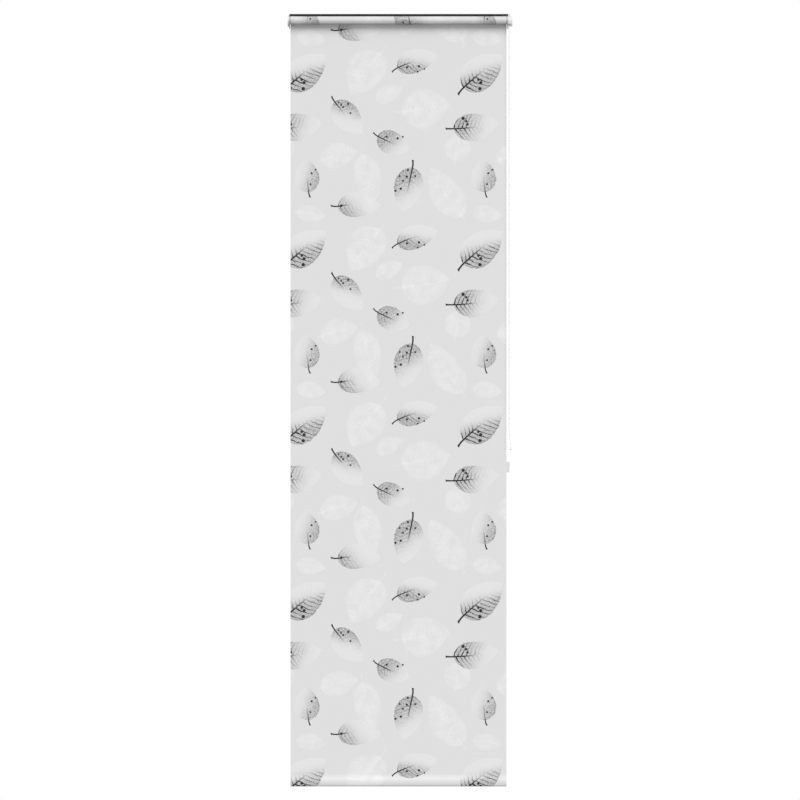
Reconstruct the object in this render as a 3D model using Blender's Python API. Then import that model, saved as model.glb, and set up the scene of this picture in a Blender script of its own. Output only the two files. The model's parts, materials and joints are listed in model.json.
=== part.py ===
"""Shower roller blind: a printed cloth on a tube under a half cassette, worked by a bead chain.

Frame: metres, +X to the right of someone who faces the blind, +Y towards the wall, +Z up.
The origin lies in the head rail's top face, which is screwed up to the ceiling, above the
roller's axis and midway along the cloth.
"""

import math

import bmesh
import bpy
from mathutils import Vector

# Whole blind
DROP = 2.400  # rail top to hem bottom
FIT_GAP = 0.0003  # between pieces that touch

# Cloth
CLOTH_WIDTH = 0.671
CLOTH_THICKNESS = 0.001
TURNS_THICKNESS = 0.0011  # the turns left on the tube when the blind is fully down

# Head rail, a half cassette that is open to the front and below
RAIL_LEFT = -0.3386
RAIL_RIGHT = 0.3403
RAIL_FRONT = -0.0090
RAIL_BACK = 0.024
RAIL_WALL = 0.0016
RAIL_LIP_DROP = 0.0048
RAIL_BACK_DROP = 0.030
RAIL_HOOK = 0.003

# Roller tube, whose axis runs along X
AXIS_Z = -0.0192
TUBE_RADIUS = 0.0125
TUBE_WALL = 0.0012
TUBE_LEFT = -0.3352
TUBE_RIGHT = 0.3349
PLUG_DEPTH = 0.030
FLANGE_RADIUS = 0.0122

# End caps, rounded discs with a guide plate that reaches in under the rail
CAP_OUTER_LEFT = -0.3444
CAP_OUTER_RIGHT = 0.3534
CAP_TOP_Z = -0.0050
CAP_BOTTOM_Z = -0.0388
CAP_HALF_DEPTH = 0.0185
CAP_EDGE_ROUND = 0.0007
GUIDE_TOP_Z = -0.0060
GUIDE_BOTTOM_Z = -0.0455
GUIDE_HALF_DEPTH = 0.0134
NECK_HALF_DEPTH = 0.0070  # the neck that carries the guide below the spigot
TAB_THICKNESS = 0.0025  # the right cap's tab over the end of the rail
TAB_END = 0.3475
GUIDE_FACE_LEFT = -0.3369
GUIDE_FACE_RIGHT = 0.3364
SPIGOT_LENGTH = 0.018
SPIGOT_THICKNESS = 0.0021
PIN_RADIUS = 0.0030
PIN_END_LEFT = -0.3427

# Bead chain and its wheel
CHAIN_DIAMETER = 0.0045
CHAIN_X = 0.3444
CHAIN_BOTTOM_Z = -1.353
CHAIN_SWING = 0.004  # how far the foot of the loop hangs to the right
CHAIN_BEND_STEP = math.radians(12.0)
WHEEL_PITCH_RADIUS = 0.00955  # ten beads, 6 mm apart
WHEEL_RADIUS = 0.0107
WHEEL_HALF_WIDTH = 0.0033
SHAFT_RADIUS = 0.0045
STUB_LENGTH = 0.0030  # the stub on the wheel's outer side
HOUSING_HALF_WIDTH = 0.0036
HOUSING_RADIUS = 0.0128
SLOT_HALF_WIDTH = 0.0030
SLOT_CLEARANCE = 0.0006
FRONT_SLOT_TOP_Z = -0.0168
BACK_SLOT_TOP_Z = -0.0205
MOUTH_HALF_WIDTH = 0.0027
MOUTH_TOP_Z = -0.0308  # from here down the front slot is open to the front

# Hem and its weight bar
BAR_HALF_HEIGHT = 0.0125
BAR_HALF_THICKNESS = 0.0033
BAR_INSET = 0.002  # from each edge of the cloth
HEM_CLOSE_ABOVE_BAR = 0.0035
HEM_LAP = 0.005  # height of the welded double layer

# Side label, a short folded ribbon on the back of the right edge
LABEL_HEIGHT = 0.032
LABEL_WIDTH = 0.0158
LABEL_THICKNESS = 0.001
LABEL_OUTSIDE = 0.0100
LABEL_CENTRE_Z = -1.408
LABEL_TILT = math.radians(4.0)

ARC_STEPS = 12  # points on a quarter turn of a round outline
ROUND_SEGMENTS = 48

MATERIALS = {
    # name: (base colour, roughness, metallic)
    "rail_black": ((0.035, 0.035, 0.038), 0.45, 0.0),
    "cap_white": ((0.78, 0.78, 0.77), 0.40, 0.0),
    "wheel_white": ((0.74, 0.74, 0.73), 0.45, 0.0),
    "tube_aluminium": ((0.62, 0.63, 0.64), 0.35, 1.0),
    "plug_grey": ((0.45, 0.46, 0.47), 0.50, 0.0),
    "cloth_grey": ((0.73, 0.73, 0.73), 0.60, 0.0),
    "bar_white": ((0.76, 0.76, 0.75), 0.45, 0.0),
    "chain_white": ((0.84, 0.84, 0.83), 0.35, 0.0),
    "label_white": ((0.80, 0.80, 0.80), 0.70, 0.0),
}


def clear_scene():
    for item in list(bpy.data.objects):
        bpy.data.objects.remove(item, do_unlink=True)


def material(name):
    colour, roughness, metallic = MATERIALS[name]
    made = bpy.data.materials.get(name) or bpy.data.materials.new(name)
    made.use_nodes = True
    shader = made.node_tree.nodes["Principled BSDF"]
    shader.inputs["Base Color"].default_value = (*colour, 1.0)
    shader.inputs["Roughness"].default_value = roughness
    shader.inputs["Metallic"].default_value = metallic
    return made


def place_mesh(name, mesh, material_name):
    mesh.name = name
    mesh.materials.clear()
    mesh.materials.append(material(material_name))
    mesh.shade_smooth()
    mesh.set_sharp_from_angle(angle=math.radians(35.0))
    placed = bpy.data.objects.new(name, mesh)
    bpy.context.collection.objects.link(placed)
    return placed


def face_outwards(shape):
    """Turns a closed shape's faces the same way round, and outwards."""
    bmesh.ops.recalc_face_normals(shape, faces=shape.faces)
    if shape.calc_volume(signed=True) < 0:
        bmesh.ops.reverse_faces(shape, faces=shape.faces)


def arc(centre, radii, start, end, steps=ARC_STEPS):
    """Points (y, z) on part of an ellipse, from the start angle to the end angle in degrees."""
    points = []
    for step in range(steps + 1):
        angle = math.radians(start + (end - start) * step / steps)
        points.append((centre[0] + radii[0] * math.cos(angle), centre[1] + radii[1] * math.sin(angle)))
    return points


def section(name, outlines, left, right, material_name):
    """A solid of one cross-section in the YZ plane, holes included, from x = left to x = right."""
    curve = bpy.data.curves.new(name, "CURVE")
    curve.dimensions = "2D"
    curve.fill_mode = "BOTH"
    curve.extrude = (right - left) / 2
    for outline in outlines:
        spline = curve.splines.new("POLY")
        spline.points.add(len(outline) - 1)
        for point, (y, z) in zip(spline.points, outline):
            point.co = (y, z, 0.0, 1.0)
        spline.use_cyclic_u = True
    drawn = bpy.data.objects.new(name, curve)
    mesh = bpy.data.meshes.new_from_object(drawn)
    bpy.data.objects.remove(drawn)
    bpy.data.curves.remove(curve)

    cleaned = bmesh.new()
    cleaned.from_mesh(mesh)
    bmesh.ops.remove_doubles(cleaned, verts=cleaned.verts, dist=1e-6)
    for vertex in cleaned.verts:
        y, z, x = vertex.co
        vertex.co = (x + (left + right) / 2, y, z)
    face_outwards(cleaned)
    cleaned.to_mesh(mesh)
    cleaned.free()
    return place_mesh(name, mesh, material_name)


def turned(name, profile, material_name, closed=False):
    """A solid of revolution about the roller's axis. The profile is a list of (x, radius)."""
    spun = bmesh.new()
    ring = [spun.verts.new((x, 0.0, radius)) for x, radius in profile]
    pairs = list(zip(ring, ring[1:]))
    if closed:
        pairs.append((ring[-1], ring[0]))
    edges = [spun.edges.new(pair) for pair in pairs]
    bmesh.ops.spin(
        spun,
        geom=ring + edges,
        cent=(0.0, 0.0, 0.0),
        axis=(1.0, 0.0, 0.0),
        angle=math.tau,
        steps=ROUND_SEGMENTS,
        use_merge=True,
    )
    bmesh.ops.remove_doubles(spun, verts=spun.verts, dist=1e-6)
    bmesh.ops.translate(spun, verts=spun.verts, vec=(0.0, 0.0, AXIS_Z))
    face_outwards(spun)
    mesh = bpy.data.meshes.new(name)
    spun.to_mesh(mesh)
    spun.free()
    return place_mesh(name, mesh, material_name)


def block(name, low, high):
    """A box between two corners, used as a helper."""
    made = bmesh.new()
    bmesh.ops.create_cube(made, size=1.0)
    size = Vector(high) - Vector(low)
    bmesh.ops.scale(made, verts=made.verts, vec=size)
    bmesh.ops.translate(made, verts=made.verts, vec=(Vector(high) + Vector(low)) / 2)
    mesh = bpy.data.meshes.new(name)
    made.to_mesh(mesh)
    made.free()
    return place_mesh(name, mesh, "plug_grey")


def combine(target, helper, operation):
    """Joins the helper to the target, or cuts it away, and keeps the helper out of the model."""
    helper.hide_render = True
    helper.display_type = "WIRE"
    step = target.modifiers.new(helper.name, "BOOLEAN")
    step.operation = operation
    step.solver = "EXACT"
    step.object = helper


def round_edges(target, width):
    bevel = target.modifiers.new("edge_round", "BEVEL")
    bevel.width = width
    bevel.segments = 2
    bevel.limit_method = "ANGLE"
    bevel.angle_limit = math.radians(50.0)


def head_rail():
    front, back = RAIL_FRONT, RAIL_BACK
    corner = RAIL_WALL * 0.9
    outline = [
        (front + RAIL_WALL, -RAIL_WALL),
        (front + RAIL_WALL, -RAIL_LIP_DROP),
        (front, -RAIL_LIP_DROP),
        *arc((front + corner, -corner), (corner, corner), 180, 90, steps=4),
        (back, 0.0),
        (back, -RAIL_BACK_DROP),
        (back - RAIL_WALL - RAIL_HOOK, -RAIL_BACK_DROP),
        (back - RAIL_WALL - RAIL_HOOK, -RAIL_BACK_DROP + RAIL_WALL),
        (back - RAIL_WALL, -RAIL_BACK_DROP + RAIL_WALL),
        (back - RAIL_WALL, -RAIL_WALL),
    ]
    return section("head_rail", [outline], RAIL_LEFT, RAIL_RIGHT, "rail_black")


def oval(top, bottom, half_depth):
    """The side view of a cap or a guide plate: points (y, z) on an ellipse."""
    centre = (0.0, (top + bottom) / 2)
    outline = arc(centre, (half_depth, (top - bottom) / 2), 0, 360, steps=ARC_STEPS * 3)
    return outline[:-1]


def cap_disc(name, left, right):
    disc = section(name, [oval(CAP_TOP_Z, CAP_BOTTOM_Z, CAP_HALF_DEPTH)], left, right, "cap_white")
    round_edges(disc, CAP_EDGE_ROUND)
    return disc


def guide_plate(name, left, right):
    """The plate beside the roll, which keeps the cloth in line and reaches a little lower."""
    return section(name, [oval(GUIDE_TOP_Z, GUIDE_BOTTOM_Z, GUIDE_HALF_DEPTH)], left, right, "cap_white")


def neck(name, left, right):
    top = -RAIL_WALL - FIT_GAP * 2
    half = NECK_HALF_DEPTH
    return block(name, (left, -half, GUIDE_TOP_Z * 2), (right, half, top))


def spigot(name, left, right):
    """The tongue that slides into the rail's channel."""
    front = RAIL_FRONT + RAIL_WALL + FIT_GAP
    back = RAIL_BACK - RAIL_WALL - FIT_GAP
    top = -RAIL_WALL - FIT_GAP
    return block(name, (left, front, top - SPIGOT_THICKNESS), (right, back, top))


def pin_hollow():
    """The blind hole in the left cap that the idle plug's pin turns in."""
    radius = PIN_RADIUS + FIT_GAP
    deep, mouth = PIN_END_LEFT - FIT_GAP, GUIDE_FACE_LEFT + 0.01
    return turned("pin_hollow", [(deep, 0.0), (deep, radius), (mouth, radius), (mouth, 0.0)], "plug_grey")


def wheel_hollow():
    """The room for the wheel in the right cap, with the shaft's hole and the stub's blind hole."""
    shaft, stub = SHAFT_RADIUS + FIT_GAP, PIN_RADIUS + FIT_GAP
    mouth, wall = GUIDE_FACE_RIGHT - 0.01, CHAIN_X - HOUSING_HALF_WIDTH
    cover = CHAIN_X + HOUSING_HALF_WIDTH
    profile = [
        (mouth, 0.0),
        (mouth, shaft),
        (wall, shaft),
        (wall, HOUSING_RADIUS),
        (cover, HOUSING_RADIUS),
        (cover, stub),
        (cover + STUB_LENGTH, stub),
        (cover + STUB_LENGTH, 0.0),
    ]
    return turned("wheel_hollow", profile, "plug_grey")


def end_cap_left():
    inner = RAIL_LEFT - FIT_GAP
    cap = cap_disc("end_cap_left", CAP_OUTER_LEFT, inner)
    overlap = CAP_EDGE_ROUND * 2
    combine(cap, guide_plate("left_guide", inner - overlap, GUIDE_FACE_LEFT), "UNION")
    combine(cap, neck("left_neck", inner + FIT_GAP * 2, GUIDE_FACE_LEFT - FIT_GAP), "UNION")
    combine(cap, spigot("left_spigot", inner - overlap, RAIL_LEFT + SPIGOT_LENGTH), "UNION")
    combine(cap, pin_hollow(), "DIFFERENCE")
    return cap


def end_cap_right():
    inner = RAIL_RIGHT + FIT_GAP
    cap = cap_disc("end_cap_right", inner, CAP_OUTER_RIGHT)
    overlap = CAP_EDGE_ROUND * 2
    combine(cap, guide_plate("right_guide", GUIDE_FACE_RIGHT, inner + overlap), "UNION")
    combine(cap, neck("right_neck", GUIDE_FACE_RIGHT + FIT_GAP, inner - FIT_GAP * 2), "UNION")
    combine(cap, spigot("right_spigot", RAIL_RIGHT - SPIGOT_LENGTH, inner + overlap), "UNION")
    tab_low = (inner + FIT_GAP, -NECK_HALF_DEPTH, -FIT_GAP - TAB_THICKNESS)
    tab_high = (TAB_END, NECK_HALF_DEPTH, -FIT_GAP)
    combine(cap, block("right_tab", tab_low, tab_high), "UNION")

    combine(cap, wheel_hollow(), "DIFFERENCE")
    reach = CHAIN_DIAMETER / 2 + SLOT_CLEARANCE
    front, back = -WHEEL_PITCH_RADIUS, WHEEL_PITCH_RADIUS
    slots = (
        # name, half width, nearest y, furthest y, top z
        ("front_slot", SLOT_HALF_WIDTH, front - reach, front + reach, FRONT_SLOT_TOP_Z),
        ("front_mouth", MOUTH_HALF_WIDTH, -CAP_HALF_DEPTH * 1.5, front, MOUTH_TOP_Z),
        ("back_slot", SLOT_HALF_WIDTH, back - reach, back + reach, BACK_SLOT_TOP_Z),
    )
    for name, half, near, far, top in slots:
        low = (CHAIN_X - half, near, CAP_BOTTOM_Z * 1.5)
        high = (CHAIN_X + half, far, top)
        combine(cap, block(name, low, high), "DIFFERENCE")
    return cap


def roller_tube():
    inside = TUBE_RADIUS - TUBE_WALL
    profile = [(TUBE_LEFT, inside), (TUBE_LEFT, TUBE_RADIUS), (TUBE_RIGHT, TUBE_RADIUS), (TUBE_RIGHT, inside)]
    return turned("roller_tube", profile, "tube_aluminium", closed=True)


def idle_plug():
    """The plug in the tube's left end, which turns on a pin in the cap."""
    body = TUBE_RADIUS - TUBE_WALL - FIT_GAP
    seat = TUBE_LEFT - FIT_GAP
    face = GUIDE_FACE_LEFT + FIT_GAP
    profile = [
        (TUBE_LEFT + PLUG_DEPTH, 0.0),
        (TUBE_LEFT + PLUG_DEPTH, body),
        (seat, body),
        (seat, FLANGE_RADIUS),
        (face, FLANGE_RADIUS),
        (face, PIN_RADIUS),
        (PIN_END_LEFT, PIN_RADIUS),
        (PIN_END_LEFT, 0.0),
    ]
    return turned("idle_plug", profile, "plug_grey")


def drive_plug():
    """The plug in the tube's right end, whose shaft goes through the guide to the wheel."""
    body = TUBE_RADIUS - TUBE_WALL - FIT_GAP
    seat = TUBE_RIGHT + FIT_GAP
    face = GUIDE_FACE_RIGHT - FIT_GAP
    shaft_end = CHAIN_X - WHEEL_HALF_WIDTH - FIT_GAP
    profile = [
        (TUBE_RIGHT - PLUG_DEPTH, 0.0),
        (TUBE_RIGHT - PLUG_DEPTH, body),
        (seat, body),
        (seat, FLANGE_RADIUS),
        (face, FLANGE_RADIUS),
        (face, SHAFT_RADIUS),
        (shaft_end, SHAFT_RADIUS),
        (shaft_end, 0.0),
    ]
    return turned("drive_plug", profile, "plug_grey")


def chain_wheel():
    """A grooved wheel between the guide and the cover, with a stub that turns in the cover."""
    near, far = CHAIN_X - WHEEL_HALF_WIDTH, CHAIN_X + WHEEL_HALF_WIDTH
    groove = CHAIN_DIAMETER / 2 + FIT_GAP
    lip = math.degrees(math.asin((WHEEL_RADIUS - WHEEL_PITCH_RADIUS) / groove))
    profile = [
        (near, 0.0),
        (near, WHEEL_RADIUS),
        *arc((CHAIN_X, WHEEL_PITCH_RADIUS), (groove, groove), 180 - lip, 360 + lip, steps=14),
        (far, WHEEL_RADIUS),
        (far, PIN_RADIUS),
        (far + STUB_LENGTH, PIN_RADIUS),
        (far + STUB_LENGTH, 0.0),
    ]
    return turned("chain_wheel", profile, "wheel_white")


def hem_half(half_height, half_thickness, close_above, close_half):
    """Half of the hem's teardrop from its foot up to where the layers meet: (offset, height)."""
    belly = arc((0.0, 0.0), (half_thickness, half_height), -90, 35, steps=14)
    return belly + [(close_half, half_height + close_above)]


def cloth():
    """One solid: the turns on the tube, the sheet that hangs down behind them, and the hem."""
    outer = TUBE_RADIUS + FIT_GAP + TURNS_THICKNESS
    front_face = outer - CLOTH_THICKNESS
    middle = outer - CLOTH_THICKNESS / 2
    meets = math.degrees(math.acos(front_face / outer))
    turns = arc((0.0, AXIS_Z), (outer, outer), 0, 360 - meets, steps=44)

    wall = CLOTH_THICKNESS + FIT_GAP
    hem_centre = -DROP + BAR_HALF_HEIGHT + wall
    side = hem_half(BAR_HALF_HEIGHT + wall, BAR_HALF_THICKNESS + wall, HEM_CLOSE_ABOVE_BAR, 0.0)
    lap_bottom = hem_centre + side[-1][1]
    front = [(middle - offset, hem_centre + height) for offset, height in side[:-1]]
    behind = [(middle + offset, hem_centre + height) for offset, height in side[1:-1]]
    outline = [
        *turns,
        (front_face, lap_bottom),
        *reversed(front),
        *behind,
        (outer + CLOTH_THICKNESS, lap_bottom),
        (outer + CLOTH_THICKNESS, lap_bottom + HEM_LAP),
        (outer, lap_bottom + HEM_LAP),
    ]
    tube_hole = arc((0.0, AXIS_Z), (TUBE_RADIUS + FIT_GAP,) * 2, 0, 352.5, steps=47)
    pocket_size = (BAR_HALF_THICKNESS + FIT_GAP, BAR_HALF_HEIGHT + FIT_GAP)
    pocket = arc((middle, hem_centre), pocket_size, 0, 350, steps=35)
    half = CLOTH_WIDTH / 2
    return section("cloth", [outline, tube_hole, pocket], -half, half, "cloth_grey")


def hem_bar():
    outer = TUBE_RADIUS + FIT_GAP + TURNS_THICKNESS
    centre = (outer - CLOTH_THICKNESS / 2, -DROP + BAR_HALF_HEIGHT + CLOTH_THICKNESS + FIT_GAP)
    outline = arc(centre, (BAR_HALF_THICKNESS, BAR_HALF_HEIGHT), 0, 350, steps=35)
    half = CLOTH_WIDTH / 2 - BAR_INSET
    return section("hem_bar", [outline], -half, half, "bar_white")


def side_label():
    """A folded ribbon sewn behind the cloth's right edge, with a round fold on its outer side."""
    nose = LABEL_THICKNESS / 2
    fold = arc((LABEL_WIDTH / 2 - nose, 0.0), (nose, nose), -90, 90, steps=6)
    outline = [(-LABEL_WIDTH / 2, nose), (-LABEL_WIDTH / 2, -nose), *fold]
    made = bmesh.new()
    ring = [made.verts.new((x, y, -LABEL_HEIGHT / 2)) for x, y in outline]
    foot = made.faces.new(ring)
    lifted = bmesh.ops.extrude_face_region(made, geom=[foot])
    corners = [item for item in lifted["geom"] if isinstance(item, bmesh.types.BMVert)]
    bmesh.ops.translate(made, verts=corners, vec=(0.0, 0.0, LABEL_HEIGHT))
    face_outwards(made)
    mesh = bpy.data.meshes.new("side_label")
    made.to_mesh(mesh)
    made.free()
    label = place_mesh("side_label", mesh, "label_white")
    back_of_cloth = TUBE_RADIUS + FIT_GAP + TURNS_THICKNESS
    right = CLOTH_WIDTH / 2 + LABEL_OUTSIDE
    label.location = (right - LABEL_WIDTH / 2, back_of_cloth + FIT_GAP + nose, LABEL_CENTRE_Z)
    label.rotation_euler = (0.0, LABEL_TILT, 0.0)
    return label


def chain_route():
    """The chain's middle line: from the top of the wheel down in front, round, and up behind."""
    wheel, foot = WHEEL_PITCH_RADIUS, CHAIN_BOTTOM_Z + WHEEL_PITCH_RADIUS
    over = [(CHAIN_X, y, AXIS_Z + z) for y, z in arc((0.0, 0.0), (wheel, wheel), 92, 180, steps=4)]
    falls = (-0.024, -0.040, -0.120, -0.240, -0.380, -0.520, -0.660, -0.800, -0.940, -1.080, -1.200, -1.280)
    down = [(CHAIN_X, -wheel, z) for z in falls]
    swung = CHAIN_X + CHAIN_SWING
    near_foot = [(swung - CHAIN_SWING * 0.4, -wheel, foot + 0.022), (swung, -wheel, foot + 0.005)]
    round_foot = [(swung, y, foot + z) for y, z in arc((0.0, 0.0), (wheel, wheel), 180, 270, steps=3)]
    half = over + down + near_foot + round_foot
    mirrored = [(x, -y, z) for x, y, z in reversed(half[:-1])]
    return [Vector(point) for point in half + mirrored]


def smooth_line(route):
    """Points on a smooth curve through the route's points, closer together where it bends."""
    gaps = [(b - a).length for a, b in zip(route, route[1:])]
    slopes = [(route[1] - route[0]) / gaps[0]]
    for index in range(1, len(route) - 1):
        before, after = gaps[index - 1], gaps[index]
        into = (route[index] - route[index - 1]) / before
        out = (route[index + 1] - route[index]) / after
        slopes.append((into * after + out * before) / (before + after))
    slopes.append((route[-1] - route[-2]) / gaps[-1])

    line = [route[0]]
    for index, gap in enumerate(gaps):
        bend = slopes[index].angle(slopes[index + 1])
        steps = max(1, math.ceil(bend / CHAIN_BEND_STEP))
        for step in range(1, steps + 1):
            t = step / steps
            start = route[index] * (2 * t**3 - 3 * t**2 + 1) + slopes[index] * gap * (t**3 - 2 * t**2 + t)
            end = route[index + 1] * (3 * t**2 - 2 * t**3) + slopes[index + 1] * gap * (t**3 - t**2)
            line.append(start + end)
    return line


def bead_chain():
    line = smooth_line(chain_route())
    curve = bpy.data.curves.new("bead_chain", "CURVE")
    curve.dimensions = "3D"
    curve.bevel_depth = CHAIN_DIAMETER / 2
    curve.bevel_resolution = 2
    curve.use_fill_caps = True
    spline = curve.splines.new("POLY")
    spline.points.add(len(line) - 1)
    for point, place in zip(spline.points, line):
        point.co = (*place, 1.0)
    curve.materials.append(material("chain_white"))
    chain = bpy.data.objects.new("bead_chain", curve)
    bpy.context.collection.objects.link(chain)
    return chain


def main():
    clear_scene()
    head_rail()
    end_cap_left()
    end_cap_right()
    roller_tube()
    idle_plug()
    drive_plug()
    chain_wheel()
    cloth()
    hem_bar()
    side_label()
    bead_chain()


main()
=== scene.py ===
"""The looks of the shower roller blind: finishes, printed cloth, beads, label and studio.

Metres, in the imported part's frame: +X to the right of someone facing the blind, +Y towards
the wall, +Z up, with the origin in the rail's top face above the roller's axis.
"""

import json
import math

import bmesh
import bpy
import numpy as np
from mathutils import Matrix, Vector

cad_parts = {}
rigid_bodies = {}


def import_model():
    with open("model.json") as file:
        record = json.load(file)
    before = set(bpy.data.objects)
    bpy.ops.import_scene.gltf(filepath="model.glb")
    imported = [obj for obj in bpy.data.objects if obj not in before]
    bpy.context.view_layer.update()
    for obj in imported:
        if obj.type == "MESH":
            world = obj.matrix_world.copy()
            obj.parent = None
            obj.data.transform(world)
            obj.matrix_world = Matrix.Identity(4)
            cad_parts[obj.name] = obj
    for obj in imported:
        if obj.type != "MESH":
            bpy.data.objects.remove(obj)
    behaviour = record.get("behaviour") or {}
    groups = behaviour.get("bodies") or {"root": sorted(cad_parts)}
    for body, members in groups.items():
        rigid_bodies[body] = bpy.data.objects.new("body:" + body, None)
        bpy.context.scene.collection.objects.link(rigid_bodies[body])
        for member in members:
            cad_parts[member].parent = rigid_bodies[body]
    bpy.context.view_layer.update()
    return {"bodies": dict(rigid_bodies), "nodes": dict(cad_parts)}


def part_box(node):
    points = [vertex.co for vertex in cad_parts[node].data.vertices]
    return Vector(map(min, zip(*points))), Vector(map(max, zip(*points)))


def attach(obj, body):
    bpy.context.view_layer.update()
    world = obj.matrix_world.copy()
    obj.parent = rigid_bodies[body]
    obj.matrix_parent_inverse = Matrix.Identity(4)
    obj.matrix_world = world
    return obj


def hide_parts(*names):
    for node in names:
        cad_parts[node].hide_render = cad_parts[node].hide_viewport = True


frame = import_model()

BODY = next(iter(frame["bodies"]))
NODES = frame["nodes"]

MM = 0.001


# ---------------------------------------------------------------- places read from the frame

def centre_of(node):
    low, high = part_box(node)
    return (low + high) / 2


def size_of(node):
    low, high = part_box(node)
    return high - low


CLOTH_LOW, CLOTH_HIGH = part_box("cloth")
CLOTH_WIDTH = CLOTH_HIGH.x - CLOTH_LOW.x
CLOTH_LEFT = CLOTH_LOW.x
HEM_BOTTOM = CLOTH_LOW.z
AXIS_Z = centre_of("roller_tube").z
TUBE_RADIUS = size_of("roller_tube").z / 2
ROLL_RADIUS = -CLOTH_LOW.y


# ---------------------------------------------------------------- camera

CAMERA_DISTANCE = 30.0
VIEW_HEIGHT = 2.4868  # height of the cloth's plane that the picture shows
VIEW_CENTRE = Vector((0.0047, 0.0, -1.1990))
SENSOR = 36.0


def make_camera():
    data = bpy.data.cameras.new("camera")
    data.sensor_width = SENSOR
    data.lens = SENSOR * (CAMERA_DISTANCE + CLOTH_HIGH.y) / VIEW_HEIGHT
    data.clip_start = 0.5
    data.clip_end = 200.0
    camera = bpy.data.objects.new("camera", data)
    camera.location = VIEW_CENTRE - Vector((0.0, CAMERA_DISTANCE, 0.0))
    camera.rotation_euler = (math.radians(90.0), 0.0, 0.0)
    bpy.context.scene.collection.objects.link(camera)
    bpy.context.scene.camera = camera


# ---------------------------------------------------------------- finishes

def grey(value):
    return (value, value, value, 1.0)


class Finish:
    """A material, with short ways to add nodes and join them."""

    def __init__(self, name, **values):
        self.material = bpy.data.materials.new(name)
        self.material.use_nodes = True
        self.tree = self.material.node_tree
        self.shader = self.tree.nodes["Principled BSDF"]
        for socket, value in values.items():
            self.shader.inputs[socket.replace("_", " ")].default_value = value

    def put(self, socket, value):
        """Feeds a socket from another node's output, or sets its value."""
        if isinstance(value, bpy.types.NodeSocket):
            self.tree.links.new(value, socket)
        else:
            socket.default_value = value

    def node(self, kind, inputs=(), **settings):
        made = self.tree.nodes.new("ShaderNode" + kind)
        for name, value in settings.items():
            setattr(made, name, value)
        for name, value in dict(inputs).items():
            self.put(made.inputs[name], value)
        return made

    # sums

    def math(self, operation, *values):
        made = self.node("Math", operation=operation)
        for socket, value in zip(made.inputs, values):
            self.put(socket, value)
        return made.outputs[0]

    def plus(self, first, second):
        return self.math("ADD", first, second)

    def minus(self, first, second):
        return self.math("SUBTRACT", first, second)

    def times(self, first, second):
        return self.math("MULTIPLY", first, second)

    def larger(self, first, second):
        return self.math("MAXIMUM", first, second)

    def scaled(self, value, factor, start):
        """start, and factor times the value on top."""
        return self.plus(self.times(value, factor), start)

    def absolute(self, value):
        return self.math("ABSOLUTE", value)

    def from_line(self, turns):
        """0 half way through each whole turn, and 0.5 where the next one starts."""
        return self.absolute(self.minus(self.math("FRACT", turns), 0.5))

    def ramp(self, value, low, high, smooth=True):
        """0 at low and 1 at high, for low under or over high."""
        kind = "SMOOTHSTEP" if smooth else "LINEAR"
        inputs = {"Value": value, "From Min": low, "From Max": high}
        return self.node("MapRange", inputs, interpolation_type=kind, clamp=True).outputs["Result"]

    def blend(self, amount, first, second):
        made = self.node("Mix", data_type="RGBA")
        self.put(made.inputs["Factor"], amount)
        for name, value in (("A", first), ("B", second)):
            socket = next(s for s in made.inputs if s.name == name and s.type == "RGBA")
            self.put(socket, value)
        return next(s for s in made.outputs if s.type == "RGBA")

    # places and textures

    def place(self, scale=(1.0, 1.0, 1.0)):
        """The object's own coordinates, stretched."""
        source = self.node("TexCoord").outputs["Object"]
        return self.node("Mapping", {"Vector": source, "Scale": scale}).outputs["Vector"]

    def uv(self, name):
        return self.node("UVMap", uv_map=name).outputs["UV"]

    def split(self, vector):
        """The X, Y and Z of a vector."""
        made = self.node("SeparateXYZ", {"Vector": vector})
        return [made.outputs[axis] for axis in "XYZ"]

    def noise(self, vector, scale, detail=3.0):
        inputs = {"Vector": vector, "Scale": scale, "Detail": detail}
        return self.node("TexNoise", inputs).outputs["Fac"]

    def unevenness(self, vector, scale, amount):
        """Noise about zero, amount from its lowest to its highest."""
        return self.times(self.minus(self.noise(vector, scale), 0.5), amount)

    def weave(self, vector, pitch):
        """Plain weave: 1 where the warp lies on top, and -1 where the weft does."""
        across, along, _ = self.split(vector)
        warp = self.math("SINE", self.times(across, math.pi / pitch))
        weft = self.math("SINE", self.times(along, math.pi / pitch))
        return self.times(warp, weft)

    # the shader

    def colour(self, tint):
        self.tint = tint
        self.put(self.shader.inputs["Base Color"], tint)

    def roughness(self, value):
        self.put(self.shader.inputs["Roughness"], value)

    def bump(self, height, strength, distance):
        inputs = {"Height": height, "Strength": strength, "Distance": distance}
        made = self.node("Bump", inputs)
        self.put(self.shader.inputs["Normal"], made.outputs["Normal"])


def powder_coat():
    """The rail: satin black powder coat, with a fine orange peel and faint handling marks."""
    made = Finish("rail_black", Specular_IOR_Level=0.35)
    speckle = made.noise(made.place(), scale=2600.0, detail=2.0)
    marks = made.noise(made.place(scale=(3.0, 40.0, 40.0)), scale=9.0, detail=4.0)
    tone = made.ramp(made.plus(speckle, made.times(marks, 0.6)), low=0.5, high=1.2)
    made.colour(made.blend(tone, grey(0.018), grey(0.034)))
    made.roughness(made.ramp(marks, low=-0.9, high=2.0))
    made.bump(speckle, strength=0.25, distance=0.06 * MM)
    return made


def moulded(name, light, dark, rough=0.32):
    """Satin moulded plastic with a faint cloudiness."""
    made = Finish(name, Specular_IOR_Level=0.4)
    cloud = made.noise(made.place(), scale=90.0)
    spark = made.noise(made.place(), scale=3200.0, detail=2.0)
    made.colour(made.blend(made.ramp(cloud, 0.3, 0.7), grey(dark), grey(light)))
    made.roughness(made.scaled(cloud, 0.12, rough))
    made.bump(spark, strength=0.2, distance=0.04 * MM)
    return made


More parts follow.
